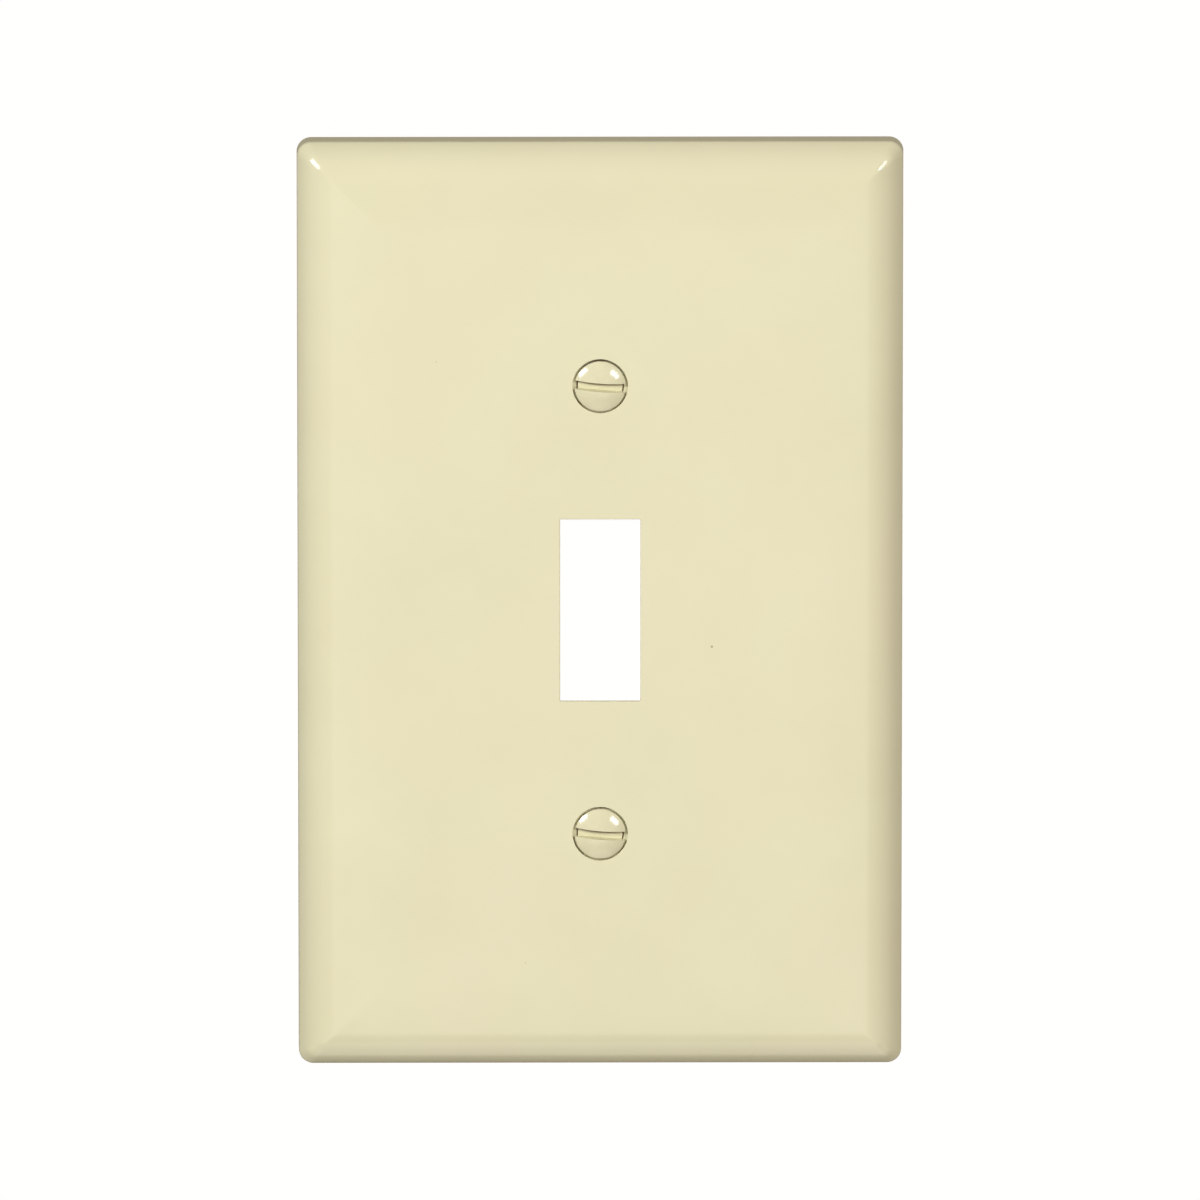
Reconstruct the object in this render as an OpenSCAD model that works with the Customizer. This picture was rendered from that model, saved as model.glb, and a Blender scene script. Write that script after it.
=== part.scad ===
// Mid-size single-gang wall plate for a toggle switch, with the two oval-head screws that
// fasten it and the fibre washers that keep those screws in the plate.
// Frame: +Z up, +X to the right, the face looks along -Y. The origin is the centre of the
// plate's back rim, and the rim lies on the wall at y = 0.

/* [Plate] */
// Width of the plate
plate_w = 79.2; // [77:0.2:82]
// Height of the plate
plate_h = 124.4; // [120:0.2:128]
// Depth from the back rim to the face
plate_d = 6.4; // [6.2:0.1:7]
// Thickness of the side walls
side_t = 2.1; // [1.9:0.1:2.4]
// Thickness of the front wall
front_t = 2.5; // [2.3:0.1:2.7]
// Radius of the corners in front view
corner_r = 1.9; // [1.6:0.1:2.6]

/* [Rolled edge] */
// Draft of the side walls in degrees
draft_a = 1; // [0.5:0.5:2]
// Radius where a side wall turns into the roll
turn_r = 0.9; // [0.7:0.1:1.2]
// Slope of the roll at its outer end in degrees
roll_a = 55; // [50:1:57]
// Slope where the roll meets the crowned border in degrees
crown_a = 6.5; // [5:0.5:8]
// Distance from the outline to the inner end of the roll
roll_w = 5.1; // [4.6:0.1:5.6]
// Distance from the outline to the inner end of the crowned border
crown_w = 12.5; // [10:0.5:14]

/* [Toggle opening] */
// Width of the opening at the face
opening_w = 10.5; // [10:0.1:11]
// Height of the opening at the face
opening_h = 24.5; // [23.8:0.1:25]
// Depth of the straight land behind the face
land_d = 0.4; // [0.3:0.1:0.8]
// How far each side of the opening flares out at the back
flare = 0.6; // [0.4:0.1:1]

/* [Back] */
// Radius of the bosses behind the screw holes
boss_r = 5; // [4.5:0.1:6]
// Distance from the wall to the back of the bosses
boss_gap = 1.8; // [1.6:0.1:2.2]
// Thickness of the stiffening ribs
rib_t = 1.2; // [1:0.1:1.5]
// Height of the stiffening ribs above the inside of the front wall
rib_h = 1.4; // [1:0.1:1.8]
// Half the clear width inside the stiffening frame
frame_x = 26.4; // [24:0.2:28]
// Half the clear height inside the stiffening frame
frame_z = 51.8; // [50:0.2:52]
// Clear distance from the opening to the rib round it
collar_gap = 2; // [1.6:0.1:3]

/* [Screws] */
// Distance between the screws, which the switch behind the plate sets
screw_spacing = 60.325; // [59.525:0.1:61.125]
// Radius over the crests of the 6-32 thread
thread_r = 1.7526; // [1.7026:0.01:1.8026]
// Radius of the plain neck
neck_r = 1.45; // [1.4:0.01:1.5]
// Radius of the head's edge
head_r = 3.4; // [3.3:0.05:3.5]
// Height of the oval crown above the head's edge
oval_h = 1; // [0.8:0.05:1.15]
// Cone angle of the countersunk head in degrees
head_a = 82; // [80:1:84]
// Radial gap round the head's edge
rim_gap = 0.22; // [0.15:0.01:0.3]
// Depth of the straight recess that each head sits in
rim_d = 0.6; // [0.4:0.05:0.7]
// Length from the head's edge to the tip
screw_l = 12.7; // [12:0.1:14]
// Distance from the wall to the first thread
thread_start = 0.6; // [0.6:0.05:0.8]
// Width of the driver slot
slot_w = 1.15; // [0.9:0.05:1.2]
// Depth of the driver slot below the head's edge
slot_d = 0.55; // [0.4:0.05:0.7]
// Clockwise turn of the upper screw's slot from level, in degrees
upper_turn = 4.4; // [0:0.1:90]
// Clockwise turn of the lower screw's slot from level, in degrees
lower_turn = 4.7; // [0:0.1:90]

/* [Retainers] */
// Radius of the fibre washers
retainer_r = 4.4; // [4:0.1:5]
// Thickness of the fibre washers
retainer_t = 0.6; // [0.5:0.05:0.6]
// Radial clearance of a washer on the screw's neck
retainer_fit = 0.06; // [0.04:0.01:0.09]

/* [Hidden] */
$fn = 64;

ivory = [0.91, 0.885, 0.75];
ivory_paint = [0.9, 0.87, 0.73];
fibre = [0.46, 0.29, 0.19];

over = 1;                       // how far a cutter runs past what it cuts
bite = 0.2;                     // how far a raised feature runs into the wall it stands on
length_all = 2 * plate_h;       // longer than the plate each way

floor_d = plate_d - front_t;    // depth of the inside of the front wall
inner_a = 47;                   // slope at which the inside curve leaves the side wall
inner_r = 4.8;                  // radius of the inside curve

hole_r = 2;                     // screw hole behind the countersink
sink_a = 90;                    // cone angle of the countersink, which meets a head at the hole
head_seat = 0.02;               // the head's edge sits this far below the face
seat_gap = 0.1;                 // from a head to the countersink at the hole, along the screw
sink_d = head_seat + seat_gap + (head_r - hole_r) / tan(head_a / 2);
edge_y = head_seat - plate_d;   // plane of the head's edge
tip_y = edge_y + screw_l;
tip_chamfer = 0.35;
retainer_play = 0.02;           // gap between a washer and the first thread
slit_w = 0.35;                  // the slits let a washer spring over the thread
slit_l = 1.3;

pad_r = 2.4;                    // round ejector pads on the inside of the front wall
pad_h = 0.3;

// Outward direction of a surface that slopes a degrees, in [inset, depth] coordinates.
function outward(a) = [-sin(a), cos(a)];

// Points of an arc of radius r that starts at point p with slope a0 and ends with slope a1.
function arc_from(p, r, a0, a1, steps) =
    [for (i = [1 : steps]) p + r * (outward(a0 + (a1 - a0) * i / steps) - outward(a0))];

// The last point of a list.
function end_of(points) = points[len(points) - 1];

// Cross-section from one side to the other, from [inset, depth] points along one edge.
function section(width, edge) = concat(
    [for (p = edge) [width / 2 - p.x, -p.y]],
    [for (i = [len(edge) - 1 : -1 : 0]) [edge[i].x - width / 2, -edge[i].y]]);

// Outer edge: drafted side wall, tight turn, roll and crowned border.
wall_a = 90 - draft_a;
roll_r = (roll_w - turn_r * (sin(wall_a) - sin(roll_a))) / (sin(roll_a) - sin(crown_a));
border_r = (crown_w - roll_w) / sin(crown_a);
wall_d = plate_d
    - turn_r * (cos(roll_a) - cos(wall_a))
    - roll_r * (cos(crown_a) - cos(roll_a))
    - border_r * (1 - cos(crown_a));
wall_end = [wall_d * tan(draft_a), wall_d];
turn_arc = arc_from(wall_end, turn_r, wall_a, roll_a, 5);
roll_arc = arc_from(end_of(turn_arc), roll_r, roll_a, crown_a, 7);
border_arc = arc_from(end_of(roll_arc), border_r, crown_a, 0, 4);
outer_edge = concat([[0, 0], wall_end], turn_arc, roll_arc, border_arc);

// Depth of the outer edge at one inset, between the points on either side of it.
function depth_at(inset) =
    let (i = max([for (k = [0 : len(outer_edge) - 1]) if (outer_edge[k].x <= inset) k]))
    let (p = outer_edge[i], q = outer_edge[i + 1])
    p.y + (q.y - p.y) * (inset - p.x) / (q.x - p.x);

// Inner edge of the hollow: straight wall, then one curve that runs into the floor.
inner_start = [side_t, floor_d - inner_r * (1 - cos(inner_a))];
inner_edge = concat(
    [[side_t, -over], inner_start],
    arc_from(inner_start, inner_r, inner_a, 0, 7));

// A round bar along Y from y0 to y1.
module bar(r, y0, y1) {
    translate([0, y1, 0]) rotate([90, 0, 0]) cylinder(h = y1 - y0, r = r);
}

// A box from one corner to the opposite one.
module span(from, to) {
    translate(from) cube(to - from);
}

// A body whose cross-section is one profile across X and another across Z, mitred at its corners.
module mitred(across_x, across_z) {
    intersection() {
        linear_extrude(height = length_all, center = true) polygon(across_x);
        rotate([0, -90, 0]) linear_extrude(height = length_all, center = true) polygon(across_z);
    }
}

// Places its children at the upper and the lower screw.
module at_screws() {
    for (side = [-1, 1]) translate([0, 0, side * screw_spacing / 2]) children();
}

// The plate as a solid block, with round corners in front view.
module plate_block() {
    corner_edge = concat(
        [for (p = outer_edge) if (p.x < corner_r) [corner_r - p.x, p.y]],
        [[0, depth_at(corner_r)], [0, 0]]);
    difference() {
        mitred(section(plate_w, outer_edge), section(plate_h, outer_edge));
        for (sx = [-1, 1], sz = [-1, 1])
            translate([sx * plate_w / 2, -plate_d / 2, sz * plate_h / 2])
                cube([2 * corner_r, plate_d + over, 2 * corner_r], center = true);
    }
    for (mx = [0, 1], mz = [0, 1])
        mirror([mx, 0, 0]) mirror([0, 0, mz])
            translate([plate_w / 2 - corner_r, 0, plate_h / 2 - corner_r])
                rotate([90, 0, 0]) rotate_extrude(angle = 90) polygon(corner_edge);
}

// The opening: a straight land at the face, then a flare towards the back.
module opening_cut() {
    edge = [
        [-flare, -over],
        [-flare, floor_d],
        [0, plate_d - land_d],
        [0, plate_d + over]];
    mitred(section(opening_w, edge), section(opening_h, edge));
}

// A rectangular rib round a clear space of the given half sizes.
module rib_frame(half_x, half_z) {
    difference() {
        span([-half_x - rib_t, -floor_d - bite, -half_z - rib_t],
            [half_x + rib_t, rib_h - floor_d, half_z + rib_t]);
        span([-half_x, -plate_d, -half_z], [half_x, 0, half_z]);
    }
}

// Bosses, ribs and ejector pads that stand on the inside of the front wall.
module back_features() {
    at_screws() bar(boss_r, -floor_d - bite, -boss_gap);
    rib_frame(opening_w / 2 + collar_gap, opening_h / 2 + collar_gap);
    rib_frame(frame_x, frame_z);
    for (side = [-1, 1], row = [-1.5, -0.5, 0.5, 1.5])
        translate([side * frame_x / 2, 0, row * screw_spacing / 2])
            bar(pad_r, -floor_d - bite, pad_h - floor_d);
}

// Cutter for one screw hole on the Y axis: hole, countersink and the straight recess at the face.
module screw_hole() {
    recess_r = head_r + rim_gap;
    sink_r = hole_r + (sink_d - rim_d) * tan(sink_a / 2);
    rotate([90, 0, 0]) rotate_extrude() polygon([
        [0, -over],
        [hole_r, -over],
        [hole_r, plate_d - sink_d],
        [sink_r, plate_d - rim_d],
        [recess_r, plate_d - rim_d],
        [recess_r, plate_d + over],
        [0, plate_d + over]]);
}

module wall_plate() {
    color(ivory) difference() {
        union() {
            difference() {
                plate_block();
                mitred(section(plate_w, inner_edge), section(plate_h, inner_edge));
            }
            back_features();
        }
        opening_cut();
        at_screws() screw_hole();
    }
}

// One oval-head screw on the Y axis. The thread is a plain cylinder over its crests.
module screw(turn) {
    oval_r = (head_r * head_r + oval_h * oval_h) / (2 * oval_h);
    oval_a = asin(head_r / oval_r);
    oval_steps = 8;
    neck_y = edge_y + (head_r - neck_r) / tan(head_a / 2);
    dome = [for (i = [0 : oval_steps]) let (a = oval_a * i / oval_steps)
        [oval_r * sin(a), oval_r * (cos(a) - cos(oval_a)) - edge_y]];
    difference() {
        rotate([90, 0, 0]) rotate_extrude() polygon(concat(dome, [
            [neck_r, -neck_y],
            [neck_r, -thread_start],
            [thread_r, -thread_start],
            [thread_r, tip_chamfer - tip_y],
            [thread_r - tip_chamfer, -tip_y],
            [0, -tip_y]]));
        rotate([0, turn, 0]) span([-head_r - over, edge_y - oval_h - over, -slot_w / 2],
            [head_r + over, edge_y + slot_d, slot_w / 2]);
    }
}

// One fibre washer on the Y axis, slit from its bore so that it can spring over the thread.
module retainer() {
    back_y = thread_start - retainer_play;
    bore_r = neck_r + retainer_fit;
    difference() {
        bar(retainer_r, back_y - retainer_t, back_y);
        bar(bore_r, -over, thread_start + over);
        for (a = [45, 135])
            rotate([0, a, 0])
                span([-bore_r - slit_l, -over, -slit_w / 2],
                    [bore_r + slit_l, thread_start + over, slit_w / 2]);
    }
}

module upper_screw() {
    color(ivory_paint) translate([0, 0, screw_spacing / 2]) screw(upper_turn);
}

module lower_screw() {
    color(ivory_paint) translate([0, 0, -screw_spacing / 2]) screw(lower_turn);
}

module upper_retainer() {
    color(fibre) translate([0, 0, screw_spacing / 2]) retainer();
}

module lower_retainer() {
    color(fibre) translate([0, 0, -screw_spacing / 2]) retainer();
}

wall_plate();
upper_screw();
lower_screw();
upper_retainer();
lower_retainer();
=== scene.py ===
"""The looks of the toggle switch wall plate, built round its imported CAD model.

Everything is in metres, in the CAD's frame: +Z up, the face looks along -Y, and the wall is
the plane y = 0. A profile is a list of points (u, d): u is measured across the surface that
the profile makes and d is the depth in front of the wall, so y = -d.
"""
import math

import bmesh
import bpy
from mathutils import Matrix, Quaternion, Vector
from mathutils.geometry import tessellate_polygon


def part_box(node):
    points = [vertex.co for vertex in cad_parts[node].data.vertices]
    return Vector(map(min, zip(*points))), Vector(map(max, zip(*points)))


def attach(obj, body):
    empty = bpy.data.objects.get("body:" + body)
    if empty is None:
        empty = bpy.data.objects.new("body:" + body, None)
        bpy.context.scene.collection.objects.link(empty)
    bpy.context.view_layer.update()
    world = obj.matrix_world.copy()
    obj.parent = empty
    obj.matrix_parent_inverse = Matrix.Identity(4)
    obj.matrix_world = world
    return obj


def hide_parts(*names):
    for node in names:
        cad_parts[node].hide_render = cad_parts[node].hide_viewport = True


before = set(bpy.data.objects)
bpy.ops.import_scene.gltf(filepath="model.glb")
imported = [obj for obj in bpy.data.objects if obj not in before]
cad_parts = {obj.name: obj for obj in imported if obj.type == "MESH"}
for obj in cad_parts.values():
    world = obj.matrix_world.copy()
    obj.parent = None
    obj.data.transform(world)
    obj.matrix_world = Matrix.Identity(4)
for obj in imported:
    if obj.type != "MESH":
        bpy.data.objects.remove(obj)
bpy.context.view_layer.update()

MM = 0.001

# ---- sizes -----------------------------------------------------------------------------

plate_low, plate_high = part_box("wall_plate")
HALF_W = plate_high.x
HALF_H = plate_high.z
DEPTH = -plate_low.y                  # from the wall to the face

CORNER_R = 1.9 * MM                   # outline corner, seen from the front
RIDGE_FROM = 1.5 * MM                 # inset where the ridge at each corner starts
RIDGE_R = 1.0 * MM                    # corner radius there
RIDGE_SLOPE = math.radians(25.6)      # slope of the ridge
MITRE_R = 0.3 * MM                    # corner radius from the ridge's end inwards
DRAFT = math.radians(1)
TURN_R = 0.9 * MM                     # round turn from the side wall to the rolled border
ROLL_SLOPE = math.radians(55)         # slope at the outside of the rolled border
CROWN_SLOPE = math.radians(6.5)       # slope at the inside of it
ROLL_W = 5.1 * MM
CROWN_W = 12.5 * MM                   # inset where the face is flat

SIDE_T = 2.1 * MM
FLOOR = DEPTH - 2.5 * MM              # depth of the inside of the front wall
INNER_SLOPE = math.radians(47)
INNER_REACH = 4.8 * MM                # radius whose arc spans the inside curve
INNER_CORNER_R = 1.2 * MM

OPENING_W = 10.5 * MM
OPENING_H = 24.5 * MM
OPENING_CORNER_R = 0.12 * MM
LAND = 0.4 * MM                       # straight part behind the face, all round the opening
FLARE = 0.6 * MM                      # how much wider the opening is at the back, on each side

SCREW_Z = 60.325 / 2 * MM
HOLE_R = 2.0 * MM
RIM_GAP = 0.22 * MM                   # round the head's edge
RIM_D = 0.6 * MM                      # depth of the straight recess that each head sits in
BOSS_R = 5.0 * MM
BOSS_D = 1.8 * MM                     # depth of the back of the bosses

RIB_T = 1.2 * MM
RIB_TOP = FLOOR - 1.4 * MM
RIB_ROOT_R = 0.35 * MM
RIB_EDGE_R = 0.22 * MM
RIB_TAPER = 0.03 * MM                 # on each side
RIB_MARGIN = 0.55 * MM                # strip of the front wall beside a rib
COLLAR_GAP = 2.0 * MM
FRAME_X = 26.4 * MM
FRAME_Z = 51.8 * MM
PAD_R = 2.4 * MM
PAD_TOP = FLOOR - 0.3 * MM

HEAD_R = 3.4 * MM
EDGE_SINK = 0.02 * MM                 # how far the head's edge lies behind the face
HEAD_EDGE = DEPTH - EDGE_SINK         # depth of the head's edge plane
HEAD_HALF_ANGLE = math.radians(41)
OVAL_H = 0.995 * MM                   # crown above the head's edge
SINK_HALF_ANGLE = math.radians(45)
SEAT_GAP = 0.12 * MM
SINK_D = SEAT_GAP + (HEAD_R - HOLE_R) / math.tan(HEAD_HALF_ANGLE)   # depth of the countersink
SLOT_W = 1.15 * MM
SLOT_D = 0.55 * MM
NECK_R = 1.45 * MM
UPPER_TURN = math.radians(4.4)        # clockwise from level, seen from the front
LOWER_TURN = math.radians(4.7)

THREAD_R = 1.7526 * MM
THREAD_ROOT_R = 1.27 * MM
PITCH = 25.4 / 32 * MM
THREAD_START = -0.6 * MM              # depths behind the wall are negative
THREAD_RUN_IN = 0.45 * MM             # length over which the thread rises out of the neck
TIP = HEAD_EDGE - 12.7 * MM
TIP_R = 1.2 * MM
TIP_CHAMFER = 0.45 * MM
TIP_CUP_R = 0.6 * MM                  # shallow cup in the cut end
TIP_CUP_D = 0.06 * MM

RETAINER_R = 4.4 * MM
RETAINER_BORE_R = 1.51 * MM
RETAINER_FRONT = 0.02 * MM
RETAINER_BACK = -0.58 * MM
SLIT_W = 0.35 * MM
SLIT_L = 1.3 * MM

# small marks in the moulding, as (x, z, radius, strength)
MARKS = ((14.6 * MM, -4.9 * MM, 0.2 * MM, 0.8), (29.7 * MM, 58.2 * MM, 0.22 * MM, 0.5),
         (29.3 * MM, 57.7 * MM, 0.2 * MM, 0.45), (-21.4 * MM, 33.5 * MM, 0.12 * MM, 0.35),
         (-9.8 * MM, -47.6 * MM, 0.14 * MM, 0.3))

# colour of the painted shade in the recesses round the heads, on their cones and along their slots
PAINTED_SHADE = (0.2, 0.14, 0.075)
WHITE = (1, 1, 1)
STUDIO_DIM = (0.125, 0.1, 0.082)      # what surfaces see where there is no light

CORNER_STEPS = 14                     # edges round each corner of a rounded rectangle
ROUND_STEPS = 96                      # edges round each circle
DOME_SIDE = 10                        # edges up each side of half a head's dome
DOME_TOP = 28                         # edges along its slot
NOTCH_STEPS = 6                       # edges across the slot
SUPPORT = 0.04 * MM                   # how far an extra ring stands from the end of a fillet
SHARP = math.radians(40)              # edges that turn by more than this are sharp


# ---- camera, first ---------------------------------------------------------------------

def make_camera():
    """A long lens that looks down on the middle of the plate from 14 degrees above."""
    distance = 4.0
    frame_width = 157.2 * MM
    elevation = math.radians(14)
    azimuth = math.radians(-0.3)
    target = Vector((0, 0, -0.18 * MM))
    camera = bpy.data.cameras.new("camera")
    camera.sensor_width = 36
    camera.lens = camera.sensor_width * distance / frame_width
    camera.clip_start = 0.1
    camera.clip_end = 60
    obj = bpy.data.objects.new("camera", camera)
    towards = Vector((math.sin(azimuth) * math.cos(elevation),
                      -math.cos(azimuth) * math.cos(elevation),
                      math.sin(elevation)))
    obj.location = target + distance * towards
    obj.rotation_euler = (-towards).to_track_quat("-Z", "Y").to_euler()
    bpy.context.scene.collection.objects.link(obj)
    bpy.context.scene.camera = obj


make_camera()


# ---- profiles --------------------------------------------------------------------------

def rounded_path(corners, steps=4):
    """Turns (u, d, radius) corners into a path with tangent arcs.

    Each arc has one more point just before and just after it, which keeps the flats beside
    it flat under smooth shading.
    """
    points = [Vector(corners[0][:2])]
    for i in range(1, len(corners) - 1):
        before, here, after = (Vector(corners[k][:2]) for k in (i - 1, i, i + 1))
        radius = corners[i][2]
        way_in = (here - before).normalized()
        way_out = (after - here).normalized()
        turn = way_in.angle_signed(way_out)
        reach = radius * math.tan(abs(turn) / 2)
        start = here - way_in * reach
        side = Vector((way_in.y, -way_in.x)) if turn > 0 else Vector((-way_in.y, way_in.x))
        centre = start + side * radius
        arm = start - centre
        points.append(start - way_in * SUPPORT)
        for k in range(steps + 1):
            angle = turn * k / steps
            points.append(centre + Vector((
                arm.x * math.cos(angle) + arm.y * math.sin(angle),
                -arm.x * math.sin(angle) + arm.y * math.cos(angle))))
        points.append(here + way_out * (reach + SUPPORT))
    points.append(Vector(corners[-1][:2]))
    return points


def outward(slope):
    """Direction out of a surface that slopes this much, as (inset, depth)."""
    return Vector((-math.sin(slope), math.cos(slope)))


def arc_from(start, radius, slope_0, slope_1, steps):
    """Points of an arc in (inset, depth) whose slope runs from slope_0 to slope_1."""
    centre = start - radius * outward(slope_0)
    return [centre + radius * outward(slope_0 + (slope_1 - slope_0) * k / steps)
            for k in range(1, steps + 1)]


def edge_path():
    """The plate's edge in two paths: the back up to the rim, then the front up to the flat."""
    wall_slope = math.pi / 2 - DRAFT
    roll_r = ((ROLL_W - TURN_R * (math.sin(wall_slope) - math.sin(ROLL_SLOPE)))
              / (math.sin(ROLL_SLOPE) - math.sin(CROWN_SLOPE)))
    border_r = (CROWN_W - ROLL_W) / math.sin(CROWN_SLOPE)
    wall_d = (DEPTH
              - TURN_R * (math.cos(ROLL_SLOPE) - math.cos(wall_slope))
              - roll_r * (math.cos(CROWN_SLOPE) - math.cos(ROLL_SLOPE))
              - border_r * (1 - math.cos(CROWN_SLOPE)))
    wall_end = Vector((wall_d * math.tan(DRAFT), wall_d))
    foot_u = SIDE_T + INNER_REACH * (math.sin(INNER_SLOPE) - math.tan(INNER_SLOPE / 2))
    bend_d = FLOOR - INNER_REACH * (1 - math.cos(INNER_SLOPE))
    back = rounded_path([
        (SIDE_T + 4.4 * MM, FLOOR),
        (foot_u, FLOOR, 4.0 * MM),
        (SIDE_T, bend_d, 0.8 * MM),
        (SIDE_T, 0, 0.2 * MM),
        (0, 0, 0.25 * MM),
        (wall_end.x, wall_end.y)], steps=5)
    turn = arc_from(wall_end, TURN_R, wall_slope, ROLL_SLOPE, 10)
    roll = arc_from(turn[-1], roll_r, ROLL_SLOPE, CROWN_SLOPE, 16)
    border = arc_from(roll[-1], border_r, CROWN_SLOPE, 0, 8)
    flat = [border[-1] + Vector((SUPPORT, 0))]
    return back, turn + roll + border + flat


def corner_radii(path):
    """The outline's corner radius at each point of the path over the face.

    The soft corner tightens over the turn. Then it tightens so that the ridge between two
    sides of the border runs down a straight slope, until it has become a mitre.
    """
    tighten_from = 0.3 * TURN_R
    start = next(p for p in path if p.x >= RIDGE_FROM)
    radii = []
    for p in path:
        if p.x < start.x:
            share = max(0, (p.x - tighten_from) / (start.x - tighten_from))
            radii.append(CORNER_R + (RIDGE_R - CORNER_R) * share * share * (3 - 2 * share))
        else:
            run = (p.y - start.y) / math.tan(RIDGE_SLOPE)
            short = math.sqrt(2) * (p.x - start.x) - run
            radii.append(max(MITRE_R, RIDGE_R - short / (math.sqrt(2) - 1)))
        if radii[-1] == MITRE_R:
            break
    return radii + [MITRE_R] * (len(path) - len(radii))


def rib_path(gap):
    """Across a rib that stands on the inside of the front wall, gap from what it goes round."""
    return rounded_path([
        (gap - RIB_MARGIN, FLOOR),
        (gap, FLOOR, RIB_ROOT_R),
        (gap + RIB_TAPER, RIB_TOP, RIB_EDGE_R),
        (gap + RIB_T - RIB_TAPER, RIB_TOP, RIB_EDGE_R),
        (gap + RIB_T, FLOOR, RIB_ROOT_R),
        (gap + RIB_T + RIB_MARGIN, FLOOR)])


def opening_path():
    """From the face, through the toggle opening, to the inside of the front wall."""
    return rounded_path([
        (0.4 * MM, DEPTH),
        (0, DEPTH, 0.12 * MM),
        (0, DEPTH - LAND, 0.3 * MM),
        (FLARE, FLOOR, 0.2 * MM),
        (FLARE + 0.5 * MM, FLOOR)])


def screw_hole_path():
    """From the face, down the recess, countersink and hole, and round the boss at the back."""
    recess_r = HEAD_R + RIM_GAP
    return rounded_path([
        (recess_r + 0.3 * MM, DEPTH),
        (recess_r, DEPTH, 0.05 * MM),
        (recess_r, DEPTH - RIM_D, 0.04 * MM),
        (HOLE_R + (SINK_D - RIM_D) * math.tan(SINK_HALF_ANGLE), DEPTH - RIM_D, 0.04 * MM),
        (HOLE_R, DEPTH - SINK_D, 0.1 * MM),
        (HOLE_R, BOSS_D, 0.15 * MM),
        (BOSS_R - 0.05 * MM, BOSS_D, 0.3 * MM),
        (BOSS_R, FLOOR, 0.5 * MM),
        (BOSS_R + 0.7 * MM, FLOOR)])


def pad_path():
    """From the inside of the front wall up onto an ejector pad."""
    return rounded_path([
        (PAD_R + 0.3 * MM, FLOOR),
        (PAD_R, FLOOR, 0.08 * MM),
        (PAD_R - 0.02 * MM, PAD_TOP, 0.1 * MM),
        (PAD_R - 0.5 * MM, PAD_TOP)])


# ---- meshes grown ring by ring ----------------------------------------------------------

def rectangle_ring(half_x, half_z, radius, depth):
    """Points of a rounded rectangle at one depth, anticlockwise seen from the front."""
    points = []
    for quarter, (sx, sz) in enumerate(((1, 1), (-1, 1), (-1, -1), (1, -1))):
        for k in range(CORNER_STEPS + 1):
            angle = math.pi / 2 * (quarter + k / CORNER_STEPS)
            points.append((sx * (half_x - radius) + radius * math.cos(angle), -depth,
                           sz * (half_z - radius) + radius * math.sin(angle)))
    return points


def rectangle_rings(path, half_x, half_z, corner_r):
    """Rings of a path that runs outward from a rectangle of these half sizes."""
    return [rectangle_ring(half_x + p.x, half_z + p.x, max(corner_r + p.x, 0.5 * corner_r), p.y)
            for p in path]


def round_rings(path, centre_x, centre_z):
    """Rings of a path that runs outward from a point."""
    turns = [2 * math.pi * k / ROUND_STEPS for k in range(ROUND_STEPS)]
    return [[(centre_x + p.x * math.cos(a), -p.y, centre_z + p.x * math.sin(a)) for a in turns]
            for p in path]


def bridge(bm, ring_a, ring_b, closed=True):
    """Quads between two rings that have the same number of points."""
    count = len(ring_a)
    for i in range(count if closed else count - 1):
        j = (i + 1) % count
        corners = [ring_a[i], ring_a[j], ring_b[j], ring_b[i]]
        corners = [v for k, v in enumerate(corners) if v is not corners[k - 1]]
        if len(corners) > 2:
            bm.faces.new(corners)


def bridge_rows(bm, rows):
    """Quads between each open row of vertices and the next."""
    for row_a, row_b in zip(rows, rows[1:]):
        bridge(bm, row_a, row_b, closed=False)


def loft(bm, rings):
    """Adds the rings and the quads between them, and returns the first and the last ring."""
    made = [[bm.verts.new(p) for p in ring] for ring in rings]
    for ring_a, ring_b in zip(made, made[1:]):
        bridge(bm, ring_a, ring_b)
    return made[0], made[-1]


def fill(bm, *rings):
    """A flat face inside the first ring, open where the other rings are."""
    verts = [v for ring in rings for v in ring]
    for triangle in tessellate_polygon([[v.co for v in ring] for ring in rings]):
        corners = [verts[i] for i in triangle]
        if len(set(corners)) == 3:
            bm.faces.new(corners)


def finish_mesh(bm, name, material):
    """Closes a mesh off and makes it an object with one material."""
    bmesh.ops.recalc_face_normals(bm, faces=bm.faces)
    mesh = bpy.data.meshes.new(name)
    bm.to_mesh(mesh)
    bm.free()
    mesh.materials.append(material)
    mesh.shade_smooth()
    obj = bpy.data.objects.new(name, mesh)
    bpy.context.scene.collection.objects.link(obj)
    return obj


# ---- the plate -------------------------------------------------------------------------

def add_pads(bm):
    """Two columns of ejector pads on the inside of the front wall, as their feet's rings."""
    feet = []
    for side in (-1, 1):
        for row in (-1.5, -0.5, 0.5, 1.5):
            foot, top = loft(bm, round_rings(pad_path(), side * FRAME_X / 2, row * SCREW_Z))
            fill(bm, top)
            feet.append(foot)
    return feet


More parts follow.
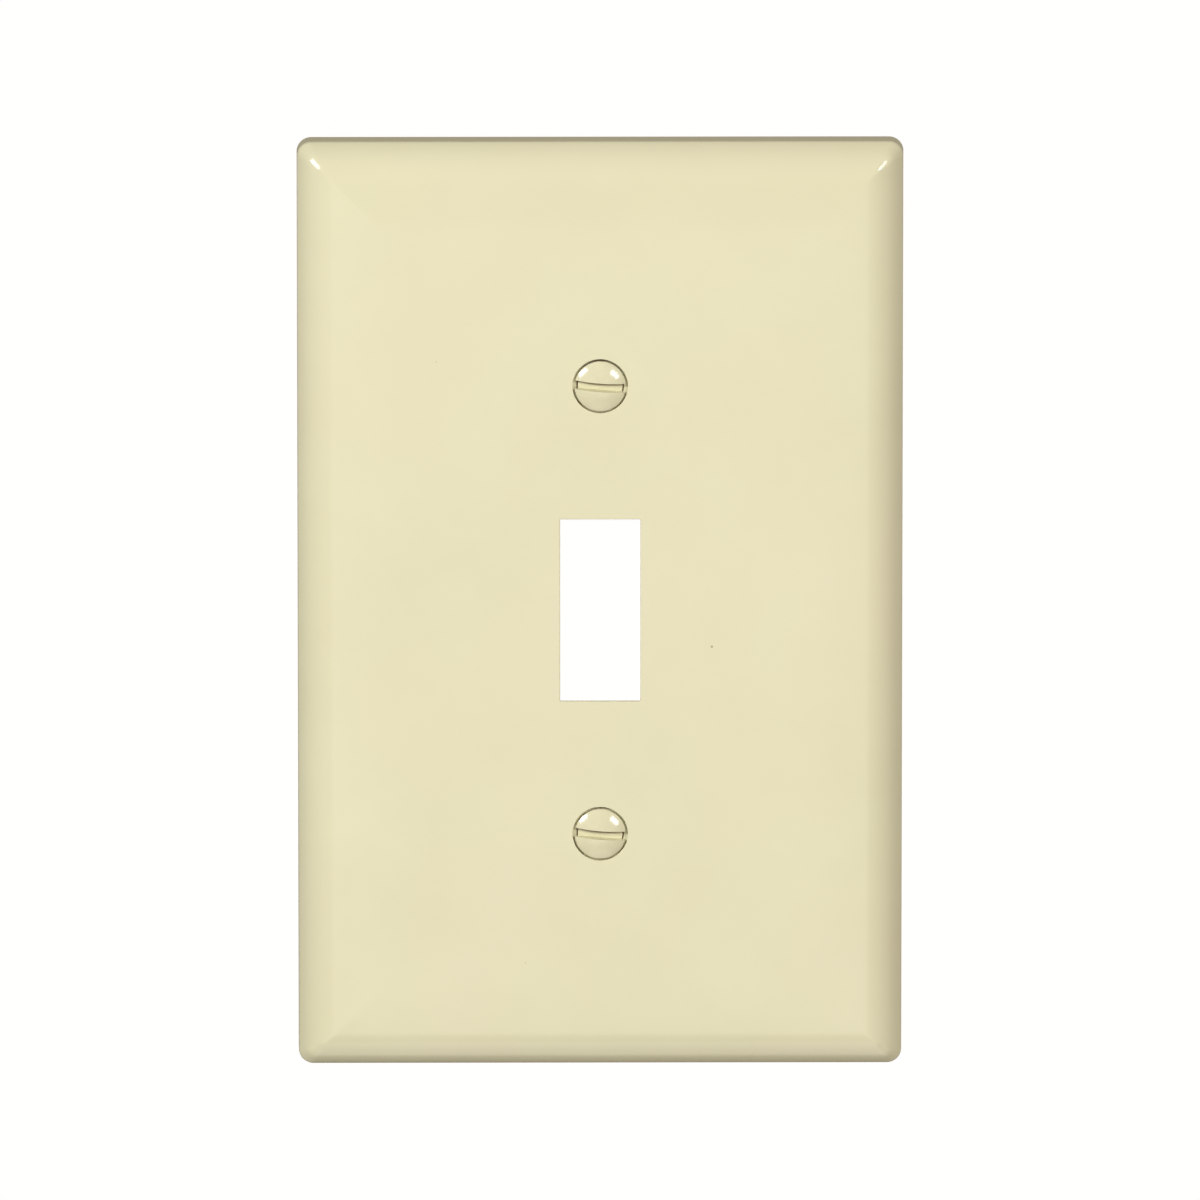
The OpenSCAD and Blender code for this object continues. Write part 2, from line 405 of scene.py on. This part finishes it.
def plate_mesh():
    """The moulding: its edge, opening, screw holes, ribs and pads, and the flats between them."""
    bm = bmesh.new()
    back, front = edge_path()
    radii = [INNER_CORNER_R if p.x > 0.5 * SIDE_T else CORNER_R for p in back]
    radii += corner_radii(front)
    floor_ring, face_ring = loft(bm, [rectangle_ring(HALF_W - p.x, HALF_H - p.x, radius, p.y)
                                      for p, radius in zip(back + front, radii)])
    half_x, half_z = OPENING_W / 2, OPENING_H / 2
    opening_front, opening_back = loft(
        bm, rectangle_rings(opening_path(), half_x, half_z, OPENING_CORNER_R))
    holes = [loft(bm, round_rings(screw_hole_path(), 0, side * SCREW_Z)) for side in (-1, 1)]
    collar_inner, collar_outer = loft(
        bm, rectangle_rings(rib_path(COLLAR_GAP), half_x, half_z, 0.5 * MM))
    frame_inner, frame_outer = loft(
        bm, rectangle_rings(rib_path(0), FRAME_X, FRAME_Z, 2.0 * MM))
    pads = add_pads(bm)

    fill(bm, face_ring, opening_front, *[front_end for front_end, _ in holes])
    fill(bm, collar_inner, opening_back)
    fill(bm, frame_inner, collar_outer, *[back_end for _, back_end in holes], *pads)
    fill(bm, floor_ring, frame_outer)
    return bm


# ---- the screws ------------------------------------------------------------------------

def dome_height(radius):
    """Height of the oval crown above the head's edge."""
    sphere_r = (HEAD_R ** 2 + OVAL_H ** 2) / (2 * OVAL_H)
    return math.sqrt(sphere_r ** 2 - radius ** 2) - (sphere_r - OVAL_H)


def foot_radius():
    """Radius of the head's cone at the depth of the slot's floor."""
    return HEAD_R - SLOT_D * math.tan(HEAD_HALF_ANGLE)


def rim_profile():
    """(radius, height) from the dome's end, round the head's edge, down to the slot's floor."""
    inside = HEAD_R - 0.35 * MM
    path = rounded_path([
        (inside, dome_height(inside)),
        (HEAD_R, 0, 0.1 * MM),
        (foot_radius(), -SLOT_D)], steps=5)
    return [(p.x, p.y) for p in path]


class ScrewMesh:
    """One closed mesh: a domed head with a real slot, its cone, neck and helical thread.

    A vertex is placed by how far it lies along the slot, across it, and above the head's
    edge. The head has two halves, one on each side of the slot.
    """

    def __init__(self, centre_z, turn):
        self.bm = bmesh.new()
        self.centre_z = centre_z
        self.along = Vector((math.cos(turn), 0, -math.sin(turn)))
        self.across = Vector((math.sin(turn), 0, math.cos(turn)))
        self.rim = rim_profile()

    def vert(self, a, b, height):
        """A new vertex at a along the slot, b across it and this height."""
        point = a * self.along + b * self.across
        return self.bm.verts.new((point.x, -(HEAD_EDGE + height), self.centre_z + point.z))

    def place(self, v):
        """How far a vertex lies along the slot and across it."""
        arm = v.co - Vector((0, 0, self.centre_z))
        return Vector((arm.dot(self.along), arm.dot(self.across)))

    def half_reach(self, radius):
        """Half the length of the slot's side at this radius."""
        return math.sqrt(radius ** 2 - (SLOT_W / 2) ** 2)

    def half_rim(self, side):
        """Rows round the head's edge and down its cone, beside the slot."""
        steps = 2 * DOME_SIDE + DOME_TOP
        rows = []
        for radius, height in self.rim:
            start = math.asin(SLOT_W / 2 / radius)
            angles = [start + (math.pi - 2 * start) * i / steps for i in range(steps + 1)]
            rows.append([self.vert(radius * math.cos(a), side * radius * math.sin(a), height)
                         for a in angles])
        bridge_rows(self.bm, rows)
        return rows

    def half_dome(self, arc, side):
        """The dome, as a grid between the slot's edge and three stretches of the rim's arc."""
        right = arc[:DOME_SIDE + 1]
        top = arc[DOME_SIDE:DOME_SIDE + DOME_TOP + 1]
        left = arc[DOME_SIDE + DOME_TOP:][::-1]
        half, reach = SLOT_W / 2, self.half_reach(self.rim[0][0])
        slot_edge = [arc[0]]
        for i in range(1, DOME_TOP):
            a = reach * math.cos(math.pi * i / DOME_TOP)
            slot_edge.append(self.vert(a, side * half, dome_height(math.hypot(a, half))))
        slot_edge.append(arc[-1])
        rows = [slot_edge]
        for j in range(1, DOME_SIDE):
            inner = [self.blend(slot_edge, top, right, left, i, j) for i in range(1, DOME_TOP)]
            rows.append([right[j]] + inner + [left[j]])
        rows.append(top)
        bridge_rows(self.bm, rows)
        return slot_edge

    def blend(self, low, high, right, left, i, j):
        """A vertex on the dome, i and j steps into the patch between four edges."""
        u, v = i / DOME_TOP, j / DOME_SIDE
        flat = ((1 - v) * self.place(low[i]) + v * self.place(high[i])
                + (1 - u) * self.place(right[j]) + u * self.place(left[j])
                - (1 - u) * (1 - v) * self.place(low[0]) - u * (1 - v) * self.place(low[-1])
                - (1 - u) * v * self.place(high[0]) - u * v * self.place(high[-1]))
        return self.vert(flat.x, flat.y, dome_height(flat.length))

    def slot_wall(self, slot_edge, rim_rows, side):
        """One wall of the slot, whose ends are the notch in the rim and the cone."""
        half, reach = SLOT_W / 2, self.half_reach(self.rim[0][0])
        last = len(self.rim) - 1
        rows = [slot_edge]
        for level in range(1, last + 1):
            radius, height = self.rim[level]
            row = [rim_rows[level][0]]
            for i in range(1, DOME_TOP):
                cosine = math.cos(math.pi * i / DOME_TOP)
                lift = dome_height(math.hypot(reach * cosine, half)) - self.rim[0][1]
                row.append(self.vert(self.half_reach(radius) * cosine, side * half,
                                     height + lift * (1 - level / last)))
            rows.append(row + [rim_rows[level][-1]])
        bridge_rows(self.bm, rows)
        return rows[-1]

    def slot_floor(self, wall_foot, other_foot):
        """The slot's floor between the feet of its walls, as all its rows."""
        rows = [wall_foot]
        for j in range(1, NOTCH_STEPS):
            b = SLOT_W / 2 * (1 - 2 * j / NOTCH_STEPS)
            end_a = math.sqrt(self.rim[-1][0] ** 2 - b ** 2)
            rows.append([self.vert(end_a * math.cos(math.pi * i / DOME_TOP), b, -SLOT_D)
                         for i in range(DOME_TOP + 1)])
        rows.append(other_foot)
        bridge_rows(self.bm, rows)
        return rows

    def shank(self, circle):
        """Everything below the circle at the depth of the slot's floor, down to the tip."""
        places = [self.place(v) for v in circle]
        angles = [math.atan2(p.y, p.x) for p in places]
        ring = circle
        rows = shank_rings(angles)
        for row in rows:
            new = [self.vert(r * math.cos(a), r * math.sin(a), h)
                   for a, (r, h) in zip(angles, row)]
            bridge(self.bm, ring, new)
            ring = new
        hub = self.vert(0, 0, rows[-1][0][1])
        for i, v in enumerate(ring):
            self.bm.faces.new((v, ring[(i + 1) % len(ring)], hub))

    def soften(self):
        """Rounds the sharp edges of the head and its slot."""
        bm = self.bm
        bmesh.ops.remove_doubles(bm, verts=bm.verts, dist=1e-8)
        bmesh.ops.dissolve_degenerate(bm, edges=bm.edges, dist=1e-8)
        bmesh.ops.recalc_face_normals(bm, faces=bm.faces)
        lowest = -SLOT_D - 0.001 * MM
        sharp = [e for e in bm.edges if e.is_manifold and e.calc_face_angle() > SHARP
                 and all(-(v.co.y + HEAD_EDGE) > lowest for v in e.verts)]
        bmesh.ops.bevel(bm, geom=sharp, offset=0.05 * MM, offset_type="OFFSET", segments=3,
                        profile=0.5, affect="EDGES", clamp_overlap=True)

    def build(self):
        """Makes the whole screw and returns its mesh."""
        rims = {side: self.half_rim(side) for side in (1, -1)}
        feet = {}
        for side, rows in rims.items():
            slot_edge = self.half_dome(rows[0], side)
            feet[side] = self.slot_wall(slot_edge, rows, side)
        floor = self.slot_floor(feet[1], feet[-1])
        circle = list(rims[1][-1])
        circle += [row[-1] for row in floor[1:-1]]
        circle += rims[-1][-1][::-1]
        circle += [row[0] for row in floor[1:-1]][::-1]
        self.shank(circle)
        self.soften()
        return self.bm


# (phase of the pitch, share of the thread's depth), with narrow rows at each corner
THREAD_SHAPE = ((0.02, 0), (0.23, 0), (0.27, 0.06), (0.54, 0.94),
                (0.575, 1), (0.665, 1), (0.70, 0.94), (0.98, 0.06))


def thread_ring(angles, start, end, turns, share):
    """(radius, height) at every angle, some turns down the helix, at a share of its depth."""
    ring = []
    for angle in angles:
        lag = ((angle - angles[0]) % (2 * math.pi)) / (2 * math.pi)
        height = min(start, max(end, start + PITCH - PITCH * (turns + lag)))
        risen = min(1, (start - height) / THREAD_RUN_IN)
        radius = THREAD_ROOT_R + (THREAD_R - THREAD_ROOT_R) * share
        radius = NECK_R + (radius - NECK_R) * risen
        cone = TIP_R + (THREAD_R - TIP_R) * (height - end) / TIP_CHAMFER
        ring.append((min(radius, cone), height))
    return ring


def shank_rings(angles):
    """(radius, height) at every angle for each ring from the cone to the tip."""
    start, end = THREAD_START - HEAD_EDGE, TIP - HEAD_EDGE
    neck_top = -(HEAD_R - NECK_R) / math.tan(HEAD_HALF_ANGLE)
    plain = rounded_path([
        (foot_radius(), -SLOT_D),
        (NECK_R, neck_top, 0.25 * MM),
        (NECK_R, start)])
    rings = [[(p.x, p.y)] * len(angles) for p in plain[1:]]
    turns = int((start - end) / PITCH) + 2
    rings += [thread_ring(angles, start, end, n + phase, share)
              for n in range(turns + 1) for phase, share in THREAD_SHAPE]
    for radius, height in ((TIP_R, end), (TIP_R - SUPPORT, end), (TIP_CUP_R + 0.15 * MM, end),
                           (TIP_CUP_R, end + TIP_CUP_D)):
        rings.append([(radius, height)] * len(angles))
    return rings


# ---- the retaining washers --------------------------------------------------------------

def slit_bore():
    """Outline of the washer's bore with the four slits that open from it, round (0, 0)."""
    half = SLIT_W / 2
    outline = []
    for slit in range(4):
        middle = math.radians(45 + 90 * slit)
        along = Vector((math.cos(middle), math.sin(middle)))
        across = Vector((-along.y, along.x))
        root = math.sqrt(RETAINER_BORE_R ** 2 - half ** 2)
        end = RETAINER_BORE_R + SLIT_L - half
        outline.append(along * root - across * half)
        for k in range(9):
            angle = math.pi * (k / 8 - 0.5)
            outline.append(along * (end + half * math.cos(angle)) + across * half * math.sin(angle))
        outline.append(along * root + across * half)
        gap = math.asin(half / RETAINER_BORE_R)
        for k in range(1, 14):
            angle = middle + gap + (math.pi / 2 - 2 * gap) * k / 14
            outline.append(Vector((math.cos(angle), math.sin(angle))) * RETAINER_BORE_R)
    return outline


def retainer_mesh(centre_z):
    """A punched fibre washer with four slits that open from its bore."""
    bm = bmesh.new()
    outside = rounded_path([
        (RETAINER_R - 0.4 * MM, RETAINER_FRONT),
        (RETAINER_R, RETAINER_FRONT, 0.1 * MM),
        (RETAINER_R, RETAINER_BACK, 0.05 * MM),
        (RETAINER_R - 0.4 * MM, RETAINER_BACK)], steps=3)
    outer_front, outer_back = loft(bm, round_rings(outside, 0, centre_z))
    inner_front, inner_back = loft(bm, [[(p.x, -depth, centre_z + p.y) for p in slit_bore()]
                                        for depth in (RETAINER_FRONT, RETAINER_BACK)])
    fill(bm, outer_front, inner_front)
    fill(bm, outer_back, inner_back)
    bmesh.ops.recalc_face_normals(bm, faces=bm.faces)
    for edge in bm.edges:
        if edge.is_manifold and edge.calc_face_angle() > SHARP:
            edge.smooth = False
    return bm


# ---- materials --------------------------------------------------------------------------

class Nodes:
    """A short way to build one material's nodes."""

    def __init__(self, name):
        self.material = bpy.data.materials.new(name)
        self.material.use_nodes = True
        self.tree = self.material.node_tree
        self.shader = self.tree.nodes["Principled BSDF"]
        self.place = self.tree.nodes.new("ShaderNodeTexCoord").outputs["Object"]

    def add(self, kind, **settings):
        """A new node with some of its properties set."""
        node = self.tree.nodes.new(kind)
        for key, value in settings.items():
            setattr(node, key, value)
        return node

    def link(self, source, target):
        """A link from an output socket to an input socket."""
        self.tree.links.new(source, target)

    def set(self, socket, value):
        """Sets one of the shader's sockets to a constant, or links a socket to it."""
        target = self.shader.inputs[socket]
        if isinstance(value, bpy.types.NodeSocket):
            self.link(value, target)
        else:
            target.default_value = value

    def coordinates(self):
        """Each point's x, y and z in the object."""
        split = self.add("ShaderNodeSeparateXYZ")
        self.link(self.place, split.inputs["Vector"])
        return split.outputs["X"], split.outputs["Y"], split.outputs["Z"]

    def noise(self, scale, detail=2.0, roughness=0.5, place=None):
        """Cloudy noise between 0 and 1, with this many waves in a metre."""
        node = self.add("ShaderNodeTexNoise")
        node.inputs["Scale"].default_value = scale
        node.inputs["Detail"].default_value = detail
        node.inputs["Roughness"].default_value = roughness
        self.link(place or self.place, node.inputs["Vector"])
        return node.outputs["Fac"]

    def ramp(self, factor, *stops):
        """A colour ramp from (position, colour) stops."""
        node = self.add("ShaderNodeValToRGB")
        elements = node.color_ramp.elements
        while len(elements) < len(stops):
            elements.new(0.5)
        for element, (position, colour) in zip(elements, stops):
            element.position = position
            element.color = (*colour, 1)
        self.link(factor, node.inputs["Fac"])
        return node.outputs["Color"]

    def range(self, value, low, high, from_low=0.0, from_high=1.0):
        """Runs from low to high while the value runs from from_low to from_high."""
        node = self.add("ShaderNodeMapRange")
        node.inputs["From Min"].default_value = from_low
        node.inputs["From Max"].default_value = from_high
        node.inputs["To Min"].default_value = low
        node.inputs["To Max"].default_value = high
        self.link(value, node.inputs["Value"])
        return node.outputs["Result"]

    def mix(self, factor, colour_a, colour_b):
        """Colour a at factor 0, and colour b at factor 1."""
        node = self.add("ShaderNodeMix", data_type="RGBA")
        self.link(factor, node.inputs[0])
        for colour, socket in ((colour_a, node.inputs[6]), (colour_b, node.inputs[7])):
            if isinstance(colour, bpy.types.NodeSocket):
                self.link(colour, socket)
            else:
                socket.default_value = (*colour, 1)
        return node.outputs[2]

    def mix_values(self, factor, value_a, value_b):
        """Value a at factor 0, and value b at factor 1."""
        node = self.add("ShaderNodeMix", data_type="FLOAT")
        for source, socket in zip((factor, value_a, value_b), (0, 2, 3)):
            self.link(source, node.inputs[socket])
        return node.outputs[0]

    def bump(self, height, strength, distance, normal=None):
        """The surface's normal, tilted by a height."""
        node = self.add("ShaderNodeBump")
        node.inputs["Strength"].default_value = strength
        node.inputs["Distance"].default_value = distance
        self.link(height, node.inputs["Height"])
        if normal:
            self.link(normal, node.inputs["Normal"])
        return node.outputs["Normal"]

    def math(self, operation, *values):
        """One Math node on sockets or numbers."""
        node = self.add("ShaderNodeMath", operation=operation)
        for value, socket in zip(values, node.inputs):
            if isinstance(value, bpy.types.NodeSocket):
                self.link(value, socket)
            else:
                socket.default_value = value
        return node.outputs[0]

    def product(self, *factors):
        """The product of several sockets or numbers."""
        result = factors[0]
        for factor in factors[1:]:
            result = self.math("MULTIPLY", result, factor)
        return result

    def spot(self, x, z, radius, strength):
        """A small soft-edged mark on the face, 0 outside it and up to strength inside."""
        away = self.add("ShaderNodeVectorMath", operation="DISTANCE")
        self.link(self.place, away.inputs[0])
        away.inputs[1].default_value = (x, -DEPTH, z)
        return self.range(away.outputs["Value"], strength, 0.0, 0.5 * radius, radius)


def behind_face(n):
    """Each point's distance behind the flat of the face."""
    _, y, _ = n.coordinates()
    return n.math("ADD", y, DEPTH)


def from_screw(n):
    """Each point's x and z from the axis of the nearer screw."""
    x, _, z = n.coordinates()
    axis = n.math("MULTIPLY", n.math("SIGN", z), SCREW_Z)
    return x, n.math("SUBTRACT", z, axis)


def screw_radius(n):
    """Each point's distance from the axis of the nearer screw."""
    x, z = from_screw(n)
    return n.math("SQRT", n.math("ADD", n.math("POWER", x, 2), n.math("POWER", z, 2)))


def above_slot(n):
    """Each point's distance above the middle line of the nearer screw's slot."""
    x, z = from_screw(n)
    turn = (UPPER_TURN + LOWER_TURN) / 2
    return n.math("ADD", n.math("MULTIPLY", x, math.sin(turn)),
                  n.math("MULTIPLY", z, math.cos(turn)))


def painted_shade_strength(n):
    """Strength of the painted shade round the heads: none at their sides, most over the upper one.
    """
    x, _, z = n.coordinates()
    usual = n.range(n.math("ABSOLUTE", x), 0.45, 0, 0, 0.7 * HEAD_R)
    extra = n.range(z, 0, 0.55, SCREW_Z + 0.4 * HEAD_R, SCREW_Z + HEAD_R)
    return n.math("ADD", usual, extra)


def recess_painted_shade(n):
    """Painted shade in the recess round each head and behind the slot's ends, as a factor."""
    recess_r = HEAD_R + RIM_GAP
    radius = screw_radius(n)
    off_slot = n.math("ABSOLUTE", above_slot(n))
    depth = behind_face(n)
    gap = n.product(n.range(radius, 0, 1, HEAD_R - 0.4 * MM, HEAD_R - 0.3 * MM),
                    n.range(radius, 1, 0, recess_r + 0.04 * MM, recess_r + 0.1 * MM),
                    n.range(off_slot, 0.1, 1, 0.4 * MM, 0.65 * MM),
                    painted_shade_strength(n))
    mouth = n.product(n.range(radius, 1, 0, HEAD_R - 0.32 * MM, HEAD_R - 0.24 * MM),
                      n.range(off_slot, 0.95, 0, 0.5 * MM, 0.8 * MM))
    return n.product(n.math("MAXIMUM", gap, mouth),
                     n.range(depth, 0, 1, 0.08 * MM, 0.4 * MM),
                     n.range(depth, 1, 0, 1.2 * MM, 1.8 * MM))


def slot_painted_shadow(n):
    """Painted shadow along the upper side of each slot's floor, widest at its middle, as a factor.
    """
    arch = 28.0                       # rise of the painted shadow's edge over x squared, per metre
    x, _ = from_screw(n)
    edge = n.math("MULTIPLY", n.math("POWER", x, 2), arch)
    upper = n.range(n.math("SUBTRACT", above_slot(n), edge), 0, 0.85, -0.12 * MM, 0.12 * MM)
    floor = EDGE_SINK + SLOT_D
    return n.product(upper, n.range(behind_face(n), 0, 1, floor - 0.2 * MM, floor - 0.05 * MM))


def flank_painted_shade(n):
    """Painted shade on the cone of each head just behind its edge, as a factor."""
    return n.product(painted_shade_strength(n),
                     n.range(screw_radius(n), 0, 1, HEAD_R - 0.5 * MM, HEAD_R - 0.4 * MM),
                     n.range(behind_face(n), 0, 1, EDGE_SINK + 0.03 * MM, EDGE_SINK + 0.15 * MM))


def ivory_plastic():
    """Glossy moulded ivory: faint mottling, a trace of orange peel, a few small marks and painted
    shade in the recesses round the heads.
    """
    n = Nodes("ivory_plastic")
    mottle = n.noise(55, detail=4, roughness=0.6)
    colour = n.ramp(mottle, (0.3, (0.763, 0.742, 0.502)), (0.7, (0.792, 0.778, 0.533)))
    tint = n.range(n.noise(38), 0, 0.5, 0.35, 0.7)
    colour = n.mix(tint, colour, (0.80, 0.745, 0.53))
    for mark in MARKS:
        colour = n.mix(n.spot(*mark), colour, (0.36, 0.25, 0.14))
    # painted shade darkens the recess round each head and the crevices behind the slot's ends
    n.set("Base Color", n.mix(recess_painted_shade(n), colour, PAINTED_SHADE))
    n.set("Roughness", n.range(n.noise(900, detail=3), 0.12, 0.18))
    n.set("IOR", 1.5)
    peel = n.bump(n.noise(420), 0.12, 0.05 * MM)
    n.set("Normal", n.bump(n.noise(5200), 0.05, 0.01 * MM, peel))
    return n.material


def painted_steel():
    """Ivory enamel on the head that thins out down the cone, over bright zinc plate, with painted
    shadow in the slot and painted shade just behind the head's edge.
    """
    n = Nodes("painted_steel")
    wander = n.range(n.noise(2600, detail=3), -0.35 * MM, 0.35 * MM)
    bare = n.range(n.math("ADD", behind_face(n), wander), 0, 1, 1.35 * MM, 1.6 * MM)
    enamel = n.ramp(n.noise(700, detail=4, roughness=0.6),
                    (0.3, (0.745, 0.717, 0.481)), (0.7, (0.778, 0.757, 0.517)))
    # painted shadow along the upper side of the slot's floor
    enamel = n.mix(slot_painted_shadow(n), enamel, PAINTED_SHADE)
    # painted shade on the cone just behind the head's edge, strongest over the upper head
    enamel = n.mix(flank_painted_shade(n), enamel, PAINTED_SHADE)
    zinc = n.ramp(n.noise(1500, detail=5, roughness=0.65),
                  (0.25, (0.50, 0.51, 0.50)), (0.6, (0.68, 0.69, 0.69)), (0.8, (0.74, 0.73, 0.66)))
    n.set("Base Color", n.mix(bare, enamel, zinc))
    n.set("Metallic", n.math("MULTIPLY", bare, 0.7))
    rough_enamel = n.range(n.noise(3000), 0.11, 0.18)
    rough_zinc = n.range(n.noise(2200, detail=4), 0.24, 0.42)
    n.set("Roughness", n.mix_values(bare, rough_enamel, rough_zinc))
    n.set("IOR", 1.5)
    n.set("Normal", n.bump(n.noise(2400, detail=3), 0.15, 0.02 * MM))
    return n.material


def fibre():
    """Vulcanised fibre: red-brown, matt, with short pressed fibres."""
    n = Nodes("fibre")
    stretch = n.add("ShaderNodeMapping")
    stretch.inputs["Scale"].default_value = (1, 6, 0.25)
    n.link(n.place, stretch.inputs["Vector"])
    strands = n.noise(6500, detail=5, roughness=0.7, place=stretch.outputs["Vector"])
    blotch = n.noise(900, detail=3)
    colour = n.ramp(strands, (0.3, (0.115, 0.042, 0.022)), (0.55, (0.19, 0.072, 0.036)),
                    (0.75, (0.27, 0.12, 0.065)))
    n.set("Base Color", n.mix(n.range(blotch, 0, 0.35), colour, (0.24, 0.13, 0.085)))
    n.set("Roughness", n.range(strands, 0.62, 0.82))
    n.set("Normal", n.bump(strands, 0.5, 0.03 * MM))
    return n.material


def pale_floor():
    """A pale painted studio floor with very faint tone changes."""
    n = Nodes("pale_floor")
    n.set("Base Color", n.ramp(n.noise(0.8, detail=3), (0.3, (0.93, 0.93, 0.93)),
                               (0.7, (0.95, 0.95, 0.95))))
    n.set("Roughness", 0.9)
    n.set("Emission Color", (*WHITE, 1))
    n.set("Emission Strength", 0.9)
    return n.material


# ---- build the pieces --------------------------------------------------------------------

def add_piece(bm, name, material, node, body):
    """Makes a mesh a piece that rides a body, stands in for a CAD node and fills a slot."""
    obj = finish_mesh(bm, name, material)
    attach(obj, body)
    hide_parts(node)


ivory, steel, red_fibre = ivory_plastic(), painted_steel(), fibre()
add_piece(plate_mesh(), "moulded_plate", ivory, "wall_plate", "plate")
for place, centre_z, turn in (("upper", SCREW_Z, UPPER_TURN), ("lower", -SCREW_Z, LOWER_TURN)):
    add_piece(ScrewMesh(centre_z, turn).build(), place + "_oval_head_screw", steel,
              place + "_screw", place + "_screw")
    add_piece(retainer_mesh(centre_z), place + "_fibre_washer", red_fibre,
              place + "_retainer", place + "_retainer")


# ---- floor, world and lights --------------------------------------------------------------

def make_floor():
    """The floor of the room, far below a plate that is held up at switch height."""
    drop, half = 2.0, 30.0
    mesh = bpy.data.meshes.new("floor")
    mesh.from_pydata([(-half, -half, -drop), (half, -half, -drop), (half, half, -drop),
                      (-half, half, -drop)], [], [(0, 1, 2, 3)])
    mesh.materials.append(pale_floor())
    floor = bpy.data.objects.new("floor", mesh)
    floor.visible_diffuse = False
    floor.visible_glossy = False
    bpy.context.scene.collection.objects.link(floor)


def make_world():
    """White behind the object, and a dim studio round it."""
    world = bpy.data.worlds.new("studio")
    bpy.context.scene.world = world
    world.use_nodes = True
    tree = world.node_tree
    background = tree.nodes["Background"]
    rays = tree.nodes.new("ShaderNodeLightPath")
    mix = tree.nodes.new("ShaderNodeMix")
    mix.data_type = "RGBA"
    mix.inputs[6].default_value = (*STUDIO_DIM, 1)
    mix.inputs[7].default_value = (*WHITE, 1)
    tree.links.new(rays.outputs["Is Camera Ray"], mix.inputs[0])
    tree.links.new(mix.outputs[2], background.inputs["Color"])


def add_softbox(name, direction, distance, size, power, colour=WHITE, roll=0):
    """A softbox of (width, height) that looks at the plate from one direction, rolled about it."""
    light = bpy.data.lights.new(name, "AREA")
    light.shape = "RECTANGLE"
    light.size, light.size_y = size
    light.energy = power
    light.color = colour
    obj = bpy.data.objects.new(name, light)
    towards = Vector(direction).normalized()
    obj.location = towards * distance
    obj.rotation_euler = ((-towards).to_track_quat("-Z", "Y")
                          @ Quaternion((0, 0, 1), math.radians(roll))).to_euler()
    obj.visible_camera = False
    bpy.context.scene.collection.objects.link(obj)
    return obj


def add_rear_lights():
    """Two soft lights on the plate's back, which glossy surfaces don't mirror."""
    for name, direction, size, power in (("rear_key", (0.5, 0.85, 0.16), 0.7, 17),
                                         ("back", (-0.1, 1, 0), 1.6, 15)):
        light = add_softbox(name, direction, 1.9, (size, size), power)
        light.visible_glossy = False


make_floor()
make_world()
add_softbox("key", (-0.66, -0.655, 0.355), 1.6, (0.18, 0.6), 16.4, roll=-38)
add_softbox("fill", (0.565, -0.765, 0.30), 1.6, (0.26, 0.58), 12.3, (1, 0.955, 0.93), roll=38)
add_softbox("reflector", (0, -0.927, -0.375), 2.0, (1.8, 1.0), 4.5)
add_softbox("table", (0, -0.3, -0.95), 2.0, (1.4, 1.4), 7, (1, 0.93, 0.88))
add_rear_lights()
bpy.context.scene.view_settings.view_transform = "Standard"
